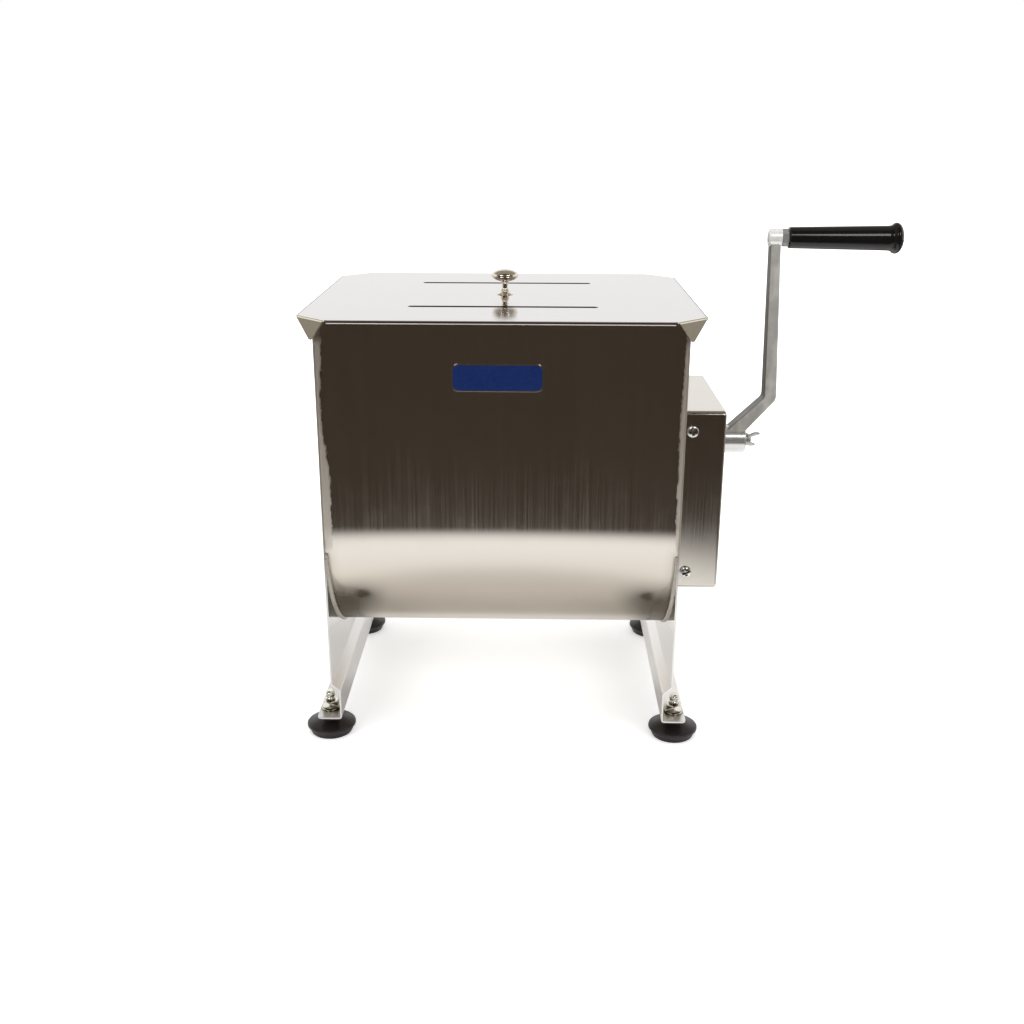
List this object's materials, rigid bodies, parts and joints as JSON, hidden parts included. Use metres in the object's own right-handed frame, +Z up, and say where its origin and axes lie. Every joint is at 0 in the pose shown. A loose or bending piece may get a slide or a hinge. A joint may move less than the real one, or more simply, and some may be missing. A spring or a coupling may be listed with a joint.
{
  "type": "meat mixer",
  "caption": "Hand-cranked meat mixer: a lidded sheet-steel tank with a curved bottom on footed end plates, and a geared side crank with a turning grip that drives a shaft of pitched paddles",
  "frame": {"origin": "on the floor, in the middle between the four feet, below the middle of the tank", "axes": "+X points to the crank side along the paddle axis, +Y to the back, +Z up"},
  "size_m": [0.5087, 0.2808, 0.4295],
  "materials": {
    "sheet_steel": "fine brushed stainless sheet",
    "zinc_steel": "bright zinc-plated fasteners",
    "shaft_steel": "turned and cut stainless steel",
    "gear_steel": "oiled machined steel",
    "bronze": "sintered bronze",
    "foot_rubber": "satin black rubber",
    "badge_blue": "blue enamel with a bright rim, blank",
    "nylon": "natural nylon",
    "knob_nickel": "polished warm nickel plate",
    "cast_grey": "satin grey casting with polished hub and boss",
    "grip_black": "gloss black moulding"
  },
  "bodies": {
    "frame": {"trough": "sheet_steel", "end_plate_left": "sheet_steel", "end_plate_right": "sheet_steel", "foot_pads": "foot_rubber", "foot_studs": "zinc_steel", "foot_washers": "zinc_steel", "foot_nuts": "zinc_steel", "badge": "badge_blue", "bearing_plate": "shaft_steel", "gear_plate": "shaft_steel", "plate_spacers": "shaft_steel", "plate_bolts": "zinc_steel", "crank_bush_inner": "bronze", "crank_bush_outer": "bronze", "drive_bush_inner": "bronze", "drive_bush_outer": "bronze", "pivot_bush": "nylon", "pivot_bush_screws": "zinc_steel", "shaft_seals": "nylon", "gear_cover": "sheet_steel", "cover_brackets": "sheet_steel", "cover_screws": "zinc_steel"},
    "lid": {"lid": "sheet_steel", "lid_knob": "knob_nickel", "knob_washer": "zinc_steel", "knob_screw": "zinc_steel"},
    "crank": {"crank_shaft": "shaft_steel", "pinion": "gear_steel", "pinion_key": "zinc_steel", "crank_clip": "zinc_steel", "crank_arm": "cast_grey", "grip_spindle": "zinc_steel", "spindle_nut": "zinc_steel"},
    "wing_screw": {"wing_screw": "zinc_steel"},
    "grip": {"grip_sleeve": "grip_black", "grip_cap": "grip_black"},
    "paddle": {"drive_shaft": "shaft_steel", "drive_gear": "gear_steel", "gear_key": "zinc_steel", "drive_clip": "zinc_steel", "drive_pin": "zinc_steel", "paddle_shaft": "shaft_steel", "paddle_stems": "shaft_steel", "paddle_blades": "shaft_steel", "pivot_bolt": "zinc_steel", "pivot_washer": "zinc_steel"}
  },
  "joints": [
    {"name": "paddle_spin", "type": "hinge", "parent": "frame", "child": "paddle", "pos_m": [0, 0, 0.198], "axis": [1, 0, 0], "continuous": true},
    {"name": "crank_spin", "type": "hinge", "parent": "frame", "child": "crank", "pos_m": [0.2, 0, 0.239], "axis": [1, 0, 0], "continuous": true},
    {"name": "grip_spin", "type": "hinge", "parent": "crank", "child": "grip", "pos_m": [0.29, 0, 0.4165], "axis": [1, 0, 0], "continuous": true},
    {"name": "wing_screw_turn", "type": "hinge", "parent": "crank", "child": "wing_screw", "pos_m": [0.22, 0, 0.239], "axis": [1, 0, 0], "continuous": true},
    {"name": "lid_lift", "type": "slide", "parent": "frame", "child": "lid", "axis": [0, 0, 1], "range_m": [0, 0.25]}
  ],
  "couplings": [
    {"joint": "crank_spin", "follows": "paddle_spin", "ratio": -2.4167}
  ]
}
